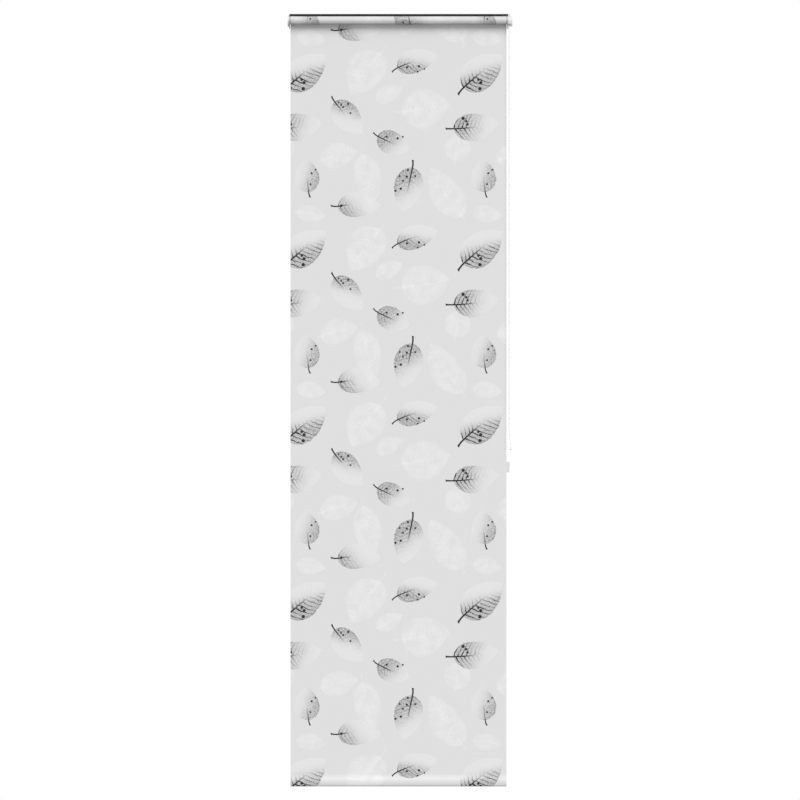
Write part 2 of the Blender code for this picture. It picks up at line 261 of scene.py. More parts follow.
# Heights below the rail's top between which the caps' painted light (lighter lower fronts) and the painted
# shade on their guides change
CAP_PAINTED_LIGHT_HEIGHTS = (-18 * MM, -31 * MM)
PAINTED_SHADE_GROWS = (-10 * MM, -34 * MM)
PAINTED_SHADE_ENDS = (-36 * MM, -41 * MM)
PAINTED_SHADE_ALL_OVER = 0.15
PAINTED_SHADE_LOW = 0.55
SEAM_BLUR = 0.3 * MM


def cap_plastic(name, seam, painted_light):
    """White plastic with painted light that makes it lighter lower down, by the given share, and painted
    shade inwards of the seam.
    """
    made = moulded(name, light=0.68, dark=0.64)
    across, _, height = made.split(made.place())
    # Painted light: the colour is lifted towards white lower down, against the shade the rounded front gets
    # there
    made.colour(made.blend(made.times(made.ramp(height, *CAP_PAINTED_LIGHT_HEIGHTS), painted_light), made.tint, grey(1.0)))

    # Painted shade: inwards of the seam the guide is darkened, most of all low down, as the gap between cap
    # and roll is in shade
    inwards = made.ramp(made.absolute(across), seam + SEAM_BLUR, seam - SEAM_BLUR)
    low = made.times(made.ramp(height, *PAINTED_SHADE_GROWS), PAINTED_SHADE_LOW)
    low = made.times(low, made.ramp(height, *reversed(PAINTED_SHADE_ENDS)))
    painted_shade = made.times(inwards, made.plus(low, PAINTED_SHADE_ALL_OVER))
    made.colour(made.blend(painted_shade, made.tint, grey(0.05)))
    return made


def drawn_aluminium():
    """The tube: mill finish, with fine lines along its length."""
    made = Finish("tube_aluminium", Metallic=1.0)
    lines = made.noise(made.place(scale=(4.0, 900.0, 900.0)), scale=3.0, detail=4.0)
    made.colour(made.blend(lines, grey(0.50), grey(0.68)))
    made.roughness(made.scaled(lines, 0.2, 0.24))
    made.bump(lines, strength=0.15, distance=0.04 * MM)
    return made


def bead_plastic():
    """Satin moulded beads, each a touch different in tone."""
    made = Finish("bead_white", Specular_IOR_Level=0.5)
    cloud = made.noise(made.place(), scale=160.0, detail=2.0)
    made.colour(made.blend(made.ramp(cloud, 0.35, 0.65), grey(0.96), grey(0.99)))
    made.roughness(made.scaled(cloud, 0.15, 0.22))
    return made


def woven_ribbon():
    """White ribbon in a plain weave, a little fuzzy."""
    made = Finish("ribbon_white", Specular_IOR_Level=0.15, Sheen_Weight=0.1)
    place = made.uv("ribbon")
    height = made.scaled(made.weave(place, pitch=0.30 * MM), 0.5, 0.5)
    fuzz = made.noise(place, scale=900.0)
    tone = made.plus(made.times(height, 0.7), made.times(fuzz, 0.3))
    made.colour(made.blend(tone, grey(0.64), grey(0.76)))
    made.roughness(made.scaled(fuzz, 0.1, 0.70))
    made.bump(height, strength=0.4, distance=0.1 * MM)
    return made


# ---------------------------------------------------------------- where the print lies

REPEAT_ACROSS = 549 * MM
REPEAT_DOWN = 547 * MM

# Leaves of one repeat. right and down are the blade's base, from the cloth's left edge and from
# the rail's top. Headings are anticlockwise from +X. Bow is how far the midrib bows to the left.
LEAF_COLUMNS = ("right", "down", "heading", "length", "width", "bow", "stem", "stem_heading")
# Fade is the darkness at the base, and how much it grows to the tip and to the left edge. Ribs is
# how strong the side veins are. Marks are holes and specks: shares of the blade's length and of its
# half width to the left, and a radius in millimetres.
DARK_LEAVES = [
    (
        (537, 229, 40, 158, 106, 2, 28, 53), (1.15, -1.50, -1.10), 1.0,
        [(0.33, -0.20, 3.8), (0.33, -0.42, 4.6), (0.24, -0.66, 5.0)],
    ),
    (
        (332, 167, 18, 131, 76, 4, 22, 38), (1.06, -1.66, -0.85), 0.4,
        [(0.22, -0.19, 3.2), (0.50, -0.42, 3.4), (0.43, -0.80, 2.6), (0.60, -0.76, 2.4)],
    ),
    (
        (137, 272, -49, 131, 84, -2, 20, -61), (0.88, -1.52, 0.74), 0.15,
        [(0.25, 0.65, 3.4), (0.23, 0.22, 3.0), (0.07, 0.20, 2.6), (0.16, 0.22, 2.8), (0.45, 0.33, 2.8)],
    ),
    (
        (507, 356, 8, 140, 88, -4, 26, -1), (1.15, -1.55, 0.20), 1.0,
        [(0.24, 0.63, 4.8), (0.30, 0.40, 3.6), (0.32, 0.17, 3.6)],
    ),
    (
        (270, 379, -23, 108, 74, -2, 18, -43), (1.30, -1.70, 0.25), 0.25,
        [(0.25, 0.26, 3.2), (0.56, 0.49, 3.4), (0.68, 0.78, 2.6)],
    ),
    (
        (56, 553, 95, 105, 79, 1, 18, 108), (0.68, -0.72, -0.62), 0.0,
        [(0.55, -0.37, 3.0), (0.23, -0.20, 2.8), (0.64, -0.70, 2.6)],
    ),
    (
        (379, 477, -102, 140, 92, 0, 25, -92), (1.15, -1.52, -0.50), 0.2,
        [
            (0.07, -0.27, 3.2), (0.24, -0.73, 2.8), (0.22, -0.25, 3.4), (0.17, 0.30, 3.0),
            (0.51, -0.48, 3.6), (0.58, -0.80, 3.4), (0.33, -0.44, 2.8),
        ],
    ),
    ((147, 597, 1, 134, 80, 5, 23, -6), (0.88, -1.60, -0.40), 0.45, [(0.08, 0.04, 3.8)]),
]
# Leaves with no dark ink, in two groups that may cross each other.
PALE_LEAVES = {
    "pale_leaf_a": [
        (280, 121, 235, 160, 124, -8, 29, 240),
        (346, 303, 10, 152, 134, -2, 26, 4),
        (93, 455, 15, 122, 84, 3, 10, 15),
        (535, 630, 123, 187, 103, 6, 17, 118),
    ],
    "pale_leaf_b": [
        (267, 268, 27, 91, 58, 2, 8, 27),
        (567, 616, -8, 93, 56, 2, 10, -8),
        (223, 434, -81, 172, 90, 5, 26, -86),
        (511, 456, 78, 93, 90, 0, 8, 78),
    ],
}
MARK_LAYERS = ("mark_a", "mark_b")
STEM_SHARE = 0.15  # the stem is drawn from minus this share to 0 along the leaf's first coordinate
BLADE_MIDDLE = 0.43  # share of the blade's length where it is widest
BLADE_REACH = 0.6  # from there to beyond its ends, stem included
FAR_AWAY = 9.0  # a place well outside any motif


def repeats(first, last, period):
    """The shifts by whole periods that can bring a motif between first and last."""
    return [k * period for k in range(math.floor(first / period) - 1, math.ceil(last / period) + 1)]


def in_leaf(right, down, leaf):
    """Places on the cloth as shares of a leaf's length and of its half width, from its bowed midrib."""
    leaf = dict(zip(LEAF_COLUMNS, leaf))
    turn = math.radians(leaf["heading"])
    across, up = right - leaf["right"] * MM, leaf["down"] * MM - down
    along = across * math.cos(turn) + up * math.sin(turn)
    side = up * math.cos(turn) - across * math.sin(turn)

    share = along / (leaf["length"] * MM)
    blade = leaf["bow"] * MM * 4 * share * (1 - share)  # a parabola, bow high half way along
    slope = leaf["bow"] * 4 / leaf["length"]
    swing = math.radians(leaf["stem_heading"] - leaf["heading"])
    foot = leaf["stem"] * MM * math.cos(swing)
    bend = (slope * foot - leaf["stem"] * MM * math.sin(swing)) / foot**2
    stem = slope * along + bend * along**2
    u = np.where(along > 0, share, along / foot * STEM_SHARE)
    v = (side - np.where(along > 0, blade, stem)) / (leaf["width"] * MM / 2)
    return u, v


def leaf_motif(leaf, fade=(0.0, 0.0, 0.0), ribs=0.0):
    """A leaf's own measure: how far a face lies from it, and what its corners get."""
    def measured(face_right, face_down, right, down):
        u, v = in_leaf(face_right, face_down, leaf)
        outside = np.hypot((u - BLADE_MIDDLE) / BLADE_REACH, v)
        u, v = in_leaf(right, down, leaf)
        start, along, to_left = fade
        return outside, (u, v, start + along * u + to_left * v, np.full_like(u, ribs))
    return measured


def mark_motif(leaf, mark):
    """A hole's or speck's own measure, like a leaf's."""
    right, down, heading, length, width = leaf[:5]
    turn = math.radians(heading)
    along, side, radius = mark[0] * length * MM, mark[1] * width * MM / 2, mark[2] * MM
    centre_right = right * MM + along * math.cos(turn) - side * math.sin(turn)
    centre_down = down * MM - along * math.sin(turn) - side * math.cos(turn)

    def measured(face_right, face_down, right, down):
        outside = np.hypot(face_right - centre_right, face_down - centre_down)
        return outside, ((right - centre_right) / radius, (down - centre_down) / radius)
    return measured


def nearest_motif(right, down, motifs):
    """What each corner of a face gets from the motif copy that lies nearest the face."""
    face_right, face_down = right.mean(axis=1), down.mean(axis=1)
    nearest = np.full(len(face_right), np.inf)
    found = np.full((*right.shape, 4), FAR_AWAY)
    for motif in motifs:
        for shift_right in repeats(face_right.min(), face_right.max(), REPEAT_ACROSS):
            for shift_down in repeats(face_down.min(), face_down.max(), REPEAT_DOWN):
                face_place = face_right - shift_right, face_down - shift_down
                outside, values = motif(*face_place, right - shift_right, down - shift_down)
                nearer = outside < nearest
                nearest[nearer] = outside[nearer]
                for column, value in enumerate(values):
                    found[nearer, :, column] = value[nearer]
    return found


def lay_print(mesh, right, down):
    """Gives each corner of a mesh of quads its place on the cloth and in the nearest motif of each kind."""
    corners = np.zeros(len(mesh.loops), np.int32)
    mesh.loops.foreach_get("vertex_index", corners)
    corners = corners.reshape(-1, 4)
    right, down = right[corners], down[corners]
    layers = {"dark_leaf": [leaf_motif(leaf, fade, ribs) for leaf, fade, ribs, marks in DARK_LEAVES]}
    for name, leaves in PALE_LEAVES.items():
        layers[name] = [leaf_motif(leaf) for leaf in leaves]
    for offset, name in enumerate(MARK_LAYERS):  # neighbours go to different layers, so none is cut
        spots = [(leaf, mark) for leaf, fade, ribs, marks in DARK_LEAVES for mark in marks[offset::2]]
        layers[name] = [mark_motif(leaf, mark) for leaf, mark in spots]

    places = {"ground": np.stack([right, down], axis=2)}
    for name, motifs in layers.items():
        found = nearest_motif(right, down, motifs)
        places[name] = found[:, :, :2]
        if name == "dark_leaf":
            places["dark_tone"] = found[:, :, 2:]
    for name, place in places.items():
        layer = mesh.uv_layers.new(name=name)
        layer.uv.foreach_set("vector", place.astype(np.float32).ravel())


# ---------------------------------------------------------------- how the print looks

# The ground and the inks, as shares of light sent back
GROUND = 0.722
CLOUDED_GROUND = 0.7112
PALE_INK = 0.84
DARK_INK = 0.006
MIDRIB_INK = 0.98  # share of a dark midrib that the ink covers
MARK_INK = 0.97
# Painted shade: how much darker the roll's colour is made than the hanging cloth's, for the light that shines
# through the hanging sheet from behind but not through the roll; below it, more painted shade on the roll's
# underside
PAINTED_ROLL_SHADE = 0.12
PAINTED_UNDER_SHADE = 0.34  # on top of that, on its underside
UNDERSIDE = (0.68, 0.94)  # where the underside starts and is full, in radii below the axis
CLOTH_PITCH = 0.45 * MM

# Leaf outline: half width is OUTLINE_PEAK * u ** OUTLINE_BASE * (1 - u) ** OUTLINE_TIP
OUTLINE_BASE = 0.55
OUTLINE_TIP = 0.80
OUTLINE_PEAK = 2.49
OUTLINE_RAGGED = 0.16
RAGGED_FROM = 0.2  # half width above which the outline is fully ragged
# Widths and distances across a leaf, in its half widths
MARGIN = (0.16, 0.03)  # inwards of the outline, where the dark margin starts and is full
MIDRIB_TIP = 0.008
MIDRIB_GROWTH = 0.040  # from tip to foot
STEM_GROWTH = 0.03  # at the stem's very foot
RIB_EDGE = (-0.012, 0.008)
# Along a leaf, where 0 to 1 is the blade, and 0 to -STEM_SHARE the stem
STEM_SWELLS = -0.11
STEM_CUT = 0.012  # softness of its cut end
MIDRIB_END = 0.96  # from where the midrib fades out to the tip
VEIN_LEAN, VEIN_BEND = 0.12, 0.08  # a side vein's run to the tip by the margin: straight, and by its bend
# Side veins and the ladder between them, in the spacing of each
SIDE_VEINS = 11.0  # to a blade's length
VEIN_WOBBLE = 0.85
VEIN_WIDTH = 0.16
VEIN_THINNING = 0.11  # by the margin
VEIN_FADING = 0.45  # by the margin
VEIN_EDGE = (-0.04, 0.02)
VEIN_LEAST, VEIN_SPREAD = 0.5, 0.6  # each vein's own strength: the least, and up to this much more
LADDER_VEINS = 9.0  # to a blade's half width
LADDER_EDGE = (0.16, 0.06)
NET_PITCH = 4.4 * MM
NET_EDGE = (0.16, 0.05)

# Scales of the print's noise, to a metre of cloth
BLOTCHES = 35.0
VEIN_NOISE = 60.0
OUTLINE_NOISE = 90.0
GRAIN_NOISE = 190.0
MARK_NOISE = 700.0
BLOTCH_FADE = 0.4  # how much the blotches change the fade
BLOTCH_PALE = (0.15, 0.70)  # blotches from which the pale leaves show, and show fully
GRAIN_EDGE = (0.42, 0.62)

# The darkness of the fade between which each kind of ink comes in
PALE_FADE = (0.25, -0.35)
DARK_FADE = (0.0, 1.0)
MIDRIB_FADE = (0.18, 0.80)
# The ribs' strength between which the grain and the side veins come in
GRAIN_RIBS = (2.6, 0.0)
VEIN_RIBS = (-0.15, 1.0)
MARK_RAGGED = 0.5  # of a mark's radius
MARK_EDGE = (1.60, 1.15)


def leaf_film(made, u, away, ground, edge):
    """The film that fills a leaf, and the margin along its ragged outline."""
    base = made.math("POWER", made.larger(u, 0.0), OUTLINE_BASE)
    tip = made.math("POWER", made.larger(made.minus(1.0, u), 0.0), OUTLINE_TIP)
    half = made.times(made.times(base, tip), OUTLINE_PEAK)
    ragged = made.unevenness(ground, OUTLINE_NOISE, OUTLINE_RAGGED)
    ragged = made.times(ragged, made.ramp(half, 0.0, RAGGED_FROM))
    inside = made.minus(made.plus(half, ragged), away)
    film = made.ramp(inside, 0.0, edge)
    return film, made.times(made.ramp(inside, *MARGIN), film)


def leaf_midrib(made, u, away):
    """The midrib and the stem, thick at the foot and fine at the tip."""
    width = made.scaled(made.minus(1.0, u), MIDRIB_GROWTH, MIDRIB_TIP)
    width = made.plus(width, made.times(made.ramp(u, STEM_SWELLS, -STEM_SHARE), STEM_GROWTH))
    rib = made.ramp(made.minus(width, away), *RIB_EDGE)
    cut = made.ramp(u, -STEM_SHARE, -STEM_SHARE + STEM_CUT)
    end = made.ramp(u, 1.0, MIDRIB_END)
    return made.times(made.times(rib, cut), end)


def leaf_veins(made, u, v, ground):
    """Side veins, which leave the midrib in turn and bend to the tip, and the ladder between them."""
    away = made.absolute(v)
    wobble = made.unevenness(ground, VEIN_NOISE, VEIN_WOBBLE)
    bend = made.times(away, made.scaled(away, VEIN_BEND, VEIN_LEAN))
    run = made.plus(made.times(made.minus(u, bend), SIDE_VEINS), wobble)
    to_left = made.math("GREATER_THAN", v, 0.0)
    run = made.plus(run, made.times(to_left, 0.5))
    width = made.minus(VEIN_WIDTH, made.times(away, VEIN_THINNING))
    veins = made.ramp(made.minus(width, made.from_line(run)), *VEIN_EDGE)
    veins = made.times(veins, made.scaled(away, -VEIN_FADING, 1.0))
    seed = made.node("TexWhiteNoise", {"W": made.math("FLOOR", run)}, noise_dimensions="1D")
    seed = seed.outputs["Value"]
    veins = made.times(veins, made.scaled(seed, VEIN_SPREAD, VEIN_LEAST))

    rungs = made.plus(made.times(away, LADDER_VEINS), made.plus(seed, wobble))
    return veins, made.ramp(made.from_line(rungs), *LADDER_EDGE)


def leaf_net(made, ground):
    """The fine net of cells between the veins."""
    inputs = {"Vector": ground, "Scale": 1 / NET_PITCH}
    cells = made.node("TexVoronoi", inputs, feature="DISTANCE_TO_EDGE", voronoi_dimensions="2D")
    return made.ramp(cells.outputs["Distance"], *NET_EDGE)


def leaf_parts(made, layer, ground, edge):
    """The parts of a leaf skeleton by name, each from 0 to 1. Its film fades out over edge."""
    u, v, _ = made.split(made.uv(layer))
    away = made.absolute(v)
    film, margin = leaf_film(made, u, away, ground, edge)
    veins, ladder = leaf_veins(made, u, v, ground)
    parts = {"film": film, "margin": margin, "midrib": leaf_midrib(made, u, away)}
    for name, part in (("veins", veins), ("ladder", ladder), ("net", leaf_net(made, ground))):
        parts[name] = made.times(part, film)
    return parts


def add_up(made, parts, **shares):
    """The sum of the named parts, each times its share, up to 1."""
    total = 0.0
    for name, share in shares.items():
        total = made.plus(total, made.times(parts[name], share))
    return made.math("MINIMUM", total, 1.0)


def pale_leaves(made, ground, blotch):
    """How much pale ink the leaves with no dark ink carry."""
    pale = 0.0
    for layer in PALE_LEAVES:
        parts = leaf_parts(made, layer, ground, edge=0.20)
        inked = add_up(
            made, parts, film=0.38, margin=0.18, midrib=0.34, veins=0.26, ladder=0.10, net=0.20
        )
        pale = made.larger(pale, made.times(inked, made.ramp(blotch, *BLOTCH_PALE)))
    return pale


def dark_leaves(made, ground, blotch):
    """How much pale and how much dark ink the other leaves carry, as the dark fades to pale."""
    ink, ribs, _ = made.split(made.uv("dark_tone"))
    parts = leaf_parts(made, "dark_leaf", ground, edge=0.07)
    fade = made.plus(ink, made.times(made.minus(blotch, 0.5), BLOTCH_FADE))
    pale = add_up(made, parts, film=0.25, margin=0.08, veins=0.14, net=0.14)
    pale = made.times(pale, made.ramp(fade, *PALE_FADE))

    grain = made.times(parts["film"], made.ramp(made.noise(ground, GRAIN_NOISE), *GRAIN_EDGE))
    parts["grain"] = made.times(grain, made.ramp(ribs, *GRAIN_RIBS, smooth=False))
    parts["veins"] = made.times(parts["veins"], made.ramp(ribs, *VEIN_RIBS, smooth=False))
    dark = add_up(made, parts, film=0.05, grain=0.29, margin=0.20, veins=0.92, ladder=0.26, net=0.34)
    dark = made.times(dark, made.ramp(fade, *DARK_FADE))
    midrib = made.times(parts["midrib"], made.ramp(fade, *MIDRIB_FADE))
    return pale, made.larger(dark, made.times(midrib, MIDRIB_INK))


def leaf_marks(made, ground):
    """How much dark ink the holes and specks carry, each a little ragged."""
    ragged = made.times(made.noise(ground, MARK_NOISE, detail=1.0), MARK_RAGGED)
    dark = 0.0
    for layer in MARK_LAYERS:
        reach = made.node("VectorMath", {0: made.uv(layer)}, operation="LENGTH").outputs["Value"]
        spot = made.ramp(made.plus(reach, ragged), *MARK_EDGE)
        dark = made.larger(dark, made.times(spot, MARK_INK))
    return dark


def painted_roll_shade(made, ground):
    """How much painted shade darkens the turns on the tube, most of all on the roll's underside."""
    _, down, _ = made.split(ground)
    _, _, height = made.split(made.place())
    rolled = made.ramp(down, -AXIS_Z, -AXIS_Z / 2)
    under = made.ramp(height, *(AXIS_Z - ROLL_RADIUS * share for share in UNDERSIDE))
    return made.times(rolled, made.scaled(under, PAINTED_UNDER_SHADE, PAINTED_ROLL_SHADE))


def printed_cloth():
    """Coated grey cloth with skeleton leaves: pale ones, and ones whose ink fades from black to pale."""
    made = Finish("printed_cloth", Specular_IOR_Level=0.12, Sheen_Weight=0.03)
    ground = made.uv("ground")
    blotch = made.noise(ground, BLOTCHES)
    faded, dark = dark_leaves(made, ground, blotch)
    pale = made.larger(pale_leaves(made, ground, blotch), faded)
    dark = made.larger(dark, leaf_marks(made, ground))

    tint = made.blend(made.times(blotch, 0.12), grey(GROUND), grey(CLOUDED_GROUND))
    tint = made.blend(pale, tint, grey(PALE_INK))
    tint = made.blend(dark, tint, grey(DARK_INK))
    # Painted shade: the roll's colour is darkened towards black
    made.colour(made.blend(painted_roll_shade(made, ground), tint, grey(0.0)))
    made.roughness(made.scaled(blotch, 0.1, 0.5))
    made.bump(made.weave(ground, CLOTH_PITCH), strength=0.08, distance=0.05 * MM)
    return made


# ---------------------------------------------------------------- making pieces

def add_object(name, mesh, finish, smooth_angle=35.0):
    mesh.materials.append(finish.material)
    mesh.shade_smooth()
    mesh.set_sharp_from_angle(angle=math.radians(smooth_angle))
    made = bpy.data.objects.new(name, mesh)
    bpy.context.scene.collection.objects.link(made)
    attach(made, BODY)
    return made


def mesh_from(name, vertices, faces):
    mesh = bpy.data.meshes.new(name)
    mesh.from_pydata([tuple(v) for v in vertices], [], [tuple(f) for f in faces])
    mesh.validate()
    return mesh


def arc(centre, radii, start, end, steps):
    """Points on part of an ellipse in a plane, from the start angle to the end angle in degrees."""
    angles = np.radians(np.linspace(start, end, steps + 1))
    return np.stack([centre[0] + radii[0] * np.cos(angles), centre[1] + radii[1] * np.sin(angles)], axis=1)


def circle(radius, start, end, steps):
    return arc((0.0, 0.0), (radius, radius), start, end, steps)


def right_of(line):
    """At each point of a line in a plane, the unit vector to the right of its run."""
    run = np.gradient(line, axis=0)
    run /= np.linalg.norm(run, axis=1)[:, None]
    return np.stack([run[:, 1], -run[:, 0]], axis=1)


def lengths_along(line):
    """How far along a line each of its points lies."""
    steps = np.linalg.norm(np.diff(line, axis=0), axis=1)
    return np.concatenate([[0.0], np.cumsum(steps)])


def sheet_faces(rows, columns):
    """Faces of a thin sheet: its front's corners come first, rows down and columns right, then its back's."""
    index = np.arange(rows * columns).reshape(rows, columns)
    corners = index[:-1, :-1], index[1:, :-1], index[1:, 1:], index[:-1, 1:]
    front = np.stack(corners, axis=2).reshape(-1, 4)
    faces = [front, front[:, ::-1] + rows * columns]
    for ring in (index[:, 0], index[-1, :], index[::-1, -1], index[0, ::-1]):
        back_ring = ring + rows * columns
        faces.append(np.stack([ring[:-1], back_ring[:-1], back_ring[1:], ring[1:]], axis=1))
    return np.concatenate(faces)


def closed_tube(rings):
    """Corners and faces of a closed solid through rings of equal count, each anticlockwise about the run."""
    sides = len(rings[0])
    faces = [tuple(reversed(range(sides)))]
    for ring in range(len(rings) - 1):
        near, far = ring * sides, (ring + 1) * sides
        for side in range(sides):
            following = (side + 1) % sides
            faces.append((near + side, near + following, far + following, far + side))
    last = (len(rings) - 1) * sides
    faces.append(tuple(range(last, last + sides)))
    return np.concatenate(rings), faces


def ball(radius, rings, sides):
    """Corners and faces of a ball, with its poles along Z."""
    corners = [(0.0, 0.0, radius)]
    for ring in range(1, rings):
        lean = math.pi * ring / rings
        for side in range(sides):
            turn = math.tau * side / sides
            out = radius * math.sin(lean)
            corners.append((out * math.cos(turn), out * math.sin(turn), radius * math.cos(lean)))
    corners.append((0.0, 0.0, -radius))
    last = len(corners) - 1
    faces = []
    for side in range(sides):
        following = (side + 1) % sides
        faces.append((0, 1 + side, 1 + following))
        for ring in range(rings - 2):
            top, foot = 1 + ring * sides, 1 + (ring + 1) * sides
            faces.append((top + side, foot + side, foot + following, top + following))
        top = 1 + (rings - 2) * sides
        faces.append((top + side, last, top + following))
    return np.array(corners), faces


def joined_mesh(name, solids):
    """One mesh of several solids, each given by its corners and faces."""
    corners, faces, first = [], [], 0
    for solid_corners, solid_faces in solids:
        corners.append(solid_corners)
        faces.extend(tuple(first + corner for corner in face) for face in solid_faces)
        first += len(solid_corners)
    return mesh_from(name, np.concatenate(corners), faces)


# ---------------------------------------------------------------- cloth

SHEET_THICKNESS = 0.32 * MM
SOLID_THICKNESS = 1.0 * MM
SHEET_Y = ROLL_RADIUS - SOLID_THICKNESS / 2  # the middle of the hanging sheet
TURNS = 2
TURN_STEPS = 60
TUBE_GAP = 0.05 * MM
TURN_PITCH = (SHEET_Y - TUBE_RADIUS - SHEET_THICKNESS / 2 - TUBE_GAP) / TURNS
ROW_STEP = 8.0 * MM
COLUMNS = 84
POCKET_HALF_HEIGHT = 13.7 * MM
POCKET_HALF_THICKNESS = 4.4 * MM
POCKET_MOUTH = 38  # degrees above the pocket's middle, where its front and its back leave the oval
POCKET_STEPS = 22
POCKET_CLOSE_ABOVE = 3.5 * MM
WELD_HEIGHT = 5.0 * MM
LAYER_GAP = 0.08 * MM
EDGE_CURL = 0.5 * MM  # how far the cut side edges turn back
EDGE_CURL_WIDTH = 14.0 * MM
# The curl starts this far below the axis and above the hem, and grows over this height
CURL_BELOW_AXIS, CURL_GROWS_DOWN = 40 * MM, 200 * MM
CURL_ABOVE_HEM, CURL_GROWS_UP = 50 * MM, 150 * MM


def cloth_line():
    """The cloth's middle line (y, z), from the tube to the weld, and where it starts to hang free."""
    turns = np.linspace(TURNS * math.tau, 0.0, TURNS * TURN_STEPS + 1)
    radius = SHEET_Y - TURN_PITCH * turns / math.tau
    roll = np.stack([radius * np.cos(turns), AXIS_Z + radius * np.sin(turns)], axis=1)

    pocket_z = HEM_BOTTOM + POCKET_HALF_HEIGHT + SHEET_THICKNESS / 2
    close_z = pocket_z + POCKET_HALF_HEIGHT + POCKET_CLOSE_ABOVE
    count = round((AXIS_Z - close_z) / ROW_STEP)
    falls = np.linspace(AXIS_Z, close_z, count + 1)[1:]
    sheet = np.stack([np.full(count, SHEET_Y), falls], axis=1)

    centre, size = (SHEET_Y, pocket_z), (POCKET_HALF_THICKNESS, POCKET_HALF_HEIGHT)
    front = arc(centre, size, 180 - POCKET_MOUTH, 270, POCKET_STEPS)
    behind = arc(centre, size, 270, 360 + POCKET_MOUTH, POCKET_STEPS)[1:]
    lap_y = SHEET_Y + SHEET_THICKNESS + LAYER_GAP
    lap = [(lap_y, close_z + WELD_HEIGHT * share) for share in (0.0, 0.5, 1.0)]
    return np.concatenate([roll, sheet, front, behind, lap]), len(roll) - 1


def edge_curl(across, heights):
    """How far back each place lies where the side edges curl, which is nowhere on the roll or the hem."""
    near_edge = np.minimum(across, CLOTH_WIDTH - across)
    curl = EDGE_CURL * np.clip(1 - near_edge / EDGE_CURL_WIDTH, 0, 1) ** 2
    below_roll = np.clip((AXIS_Z - heights - CURL_BELOW_AXIS) / CURL_GROWS_DOWN, 0, 1)
    above_hem = np.clip((heights - HEM_BOTTOM - CURL_ABOVE_HEM) / CURL_GROWS_UP, 0, 1)
    return (below_roll * above_hem)[:, None] * curl


def cloth_piece():
    line, free = cloth_line()
    cut = lengths_along(line)
    across = np.linspace(0.0, CLOTH_WIDTH, COLUMNS + 1)
    to_print, curl = right_of(line), edge_curl(across, line[:, 1])
    rows, columns = len(line), len(across)
    grids = []
    for side in (1, -1):
        place = line + to_print * (side * SHEET_THICKNESS / 2)
        grid = np.zeros((rows, columns, 3))
        grid[:, :, 0] = CLOTH_LEFT + across
        grid[:, :, 1] = place[:, :1] + curl
        grid[:, :, 2] = place[:, 1:]
        grids.append(grid.reshape(-1, 3))
    mesh = mesh_from("cloth_sheet", np.concatenate(grids), sheet_faces(rows, columns))
    down = cut - cut[free] - AXIS_Z
    lay_print(mesh, np.tile(across, rows * 2), np.tile(np.repeat(down, columns), 2))
    cloth = add_object("cloth_sheet", mesh, printed_cloth(), smooth_angle=60.0)
    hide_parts("cloth")


# ---------------------------------------------------------------- bead chain

CHAIN_DIAMETER = 4.5 * MM
CHAIN_X = 0.3444
CHAIN_SWING = 4.0 * MM
CHAIN_BOTTOM_Z = -1.3530
CHAIN_START = 92  # degrees round the wheel, where the route and the first bead are
WHEEL_PITCH_RADIUS = 9.55 * MM
POCKETS = 10
BEND_STEP = math.radians(12.0)
BEAD_RINGS = 9
BEAD_SIDES = 14
STRING_RADIUS = 0.6 * MM
STRING_SIDES = 6
STRING_FROM = CHAIN_DIAMETER * 0.46  # just inside a bead's surface


def chain_route():
    """The chain's middle line: from the top of the wheel down in front, round, and up behind."""
    wheel, foot = WHEEL_PITCH_RADIUS, CHAIN_BOTTOM_Z + WHEEL_PITCH_RADIUS
    over = [(CHAIN_X, y, AXIS_Z + z) for y, z in circle(wheel, CHAIN_START, 180, 4)]
    falls = (
        -0.024, -0.040, -0.120, -0.240, -0.380, -0.520,
        -0.660, -0.800, -0.940, -1.080, -1.200, -1.280,
    )
    down = [(CHAIN_X, -wheel, z) for z in falls]
    swung = CHAIN_X + CHAIN_SWING
    near_foot = [(swung - CHAIN_SWING * 0.4, -wheel, foot + 0.022), (swung, -wheel, foot + 0.005)]
    round_foot = [(swung, y, foot + z) for y, z in circle(wheel, 180, 270, 3)]
    half = over + down + near_foot + round_foot
    mirrored = [(x, -y, z) for x, y, z in reversed(half[:-1])]
    return [Vector(point) for point in half + mirrored]


def smooth_line(route):
    """Points on a smooth curve through the route's points, closer together where it bends."""
    gaps = [(b - a).length for a, b in zip(route, route[1:])]
    slopes = [(route[1] - route[0]) / gaps[0]]
    for index in range(1, len(route) - 1):
        before, after = gaps[index - 1], gaps[index]
        into = (route[index] - route[index - 1]) / before
        out = (route[index + 1] - route[index]) / after
        slopes.append((into * after + out * before) / (before + after))
    slopes.append((route[-1] - route[-2]) / gaps[-1])

    line = [route[0]]
    for index, gap in enumerate(gaps):
        bend = slopes[index].angle(slopes[index + 1])
        steps = max(1, math.ceil(bend / BEND_STEP))
        for step in range(1, steps + 1):
            t = step / steps
            start = route[index] * (2 * t**3 - 3 * t**2 + 1) + slopes[index] * gap * (t**3 - 2 * t**2 + t)
            end = route[index + 1] * (3 * t**2 - 2 * t**3) + slopes[index + 1] * gap * (t**3 - t**2)
            line.append(start + end)
    return line


def string_between(gap):
    """A short length of string from inside one bead to inside the next, along Z."""
    ring = circle(STRING_RADIUS, 0, 360, STRING_SIDES)[:-1]
    heights = (STRING_FROM, gap - STRING_FROM)
    return closed_tube([np.column_stack([ring, np.full(STRING_SIDES, height)]) for height in heights])


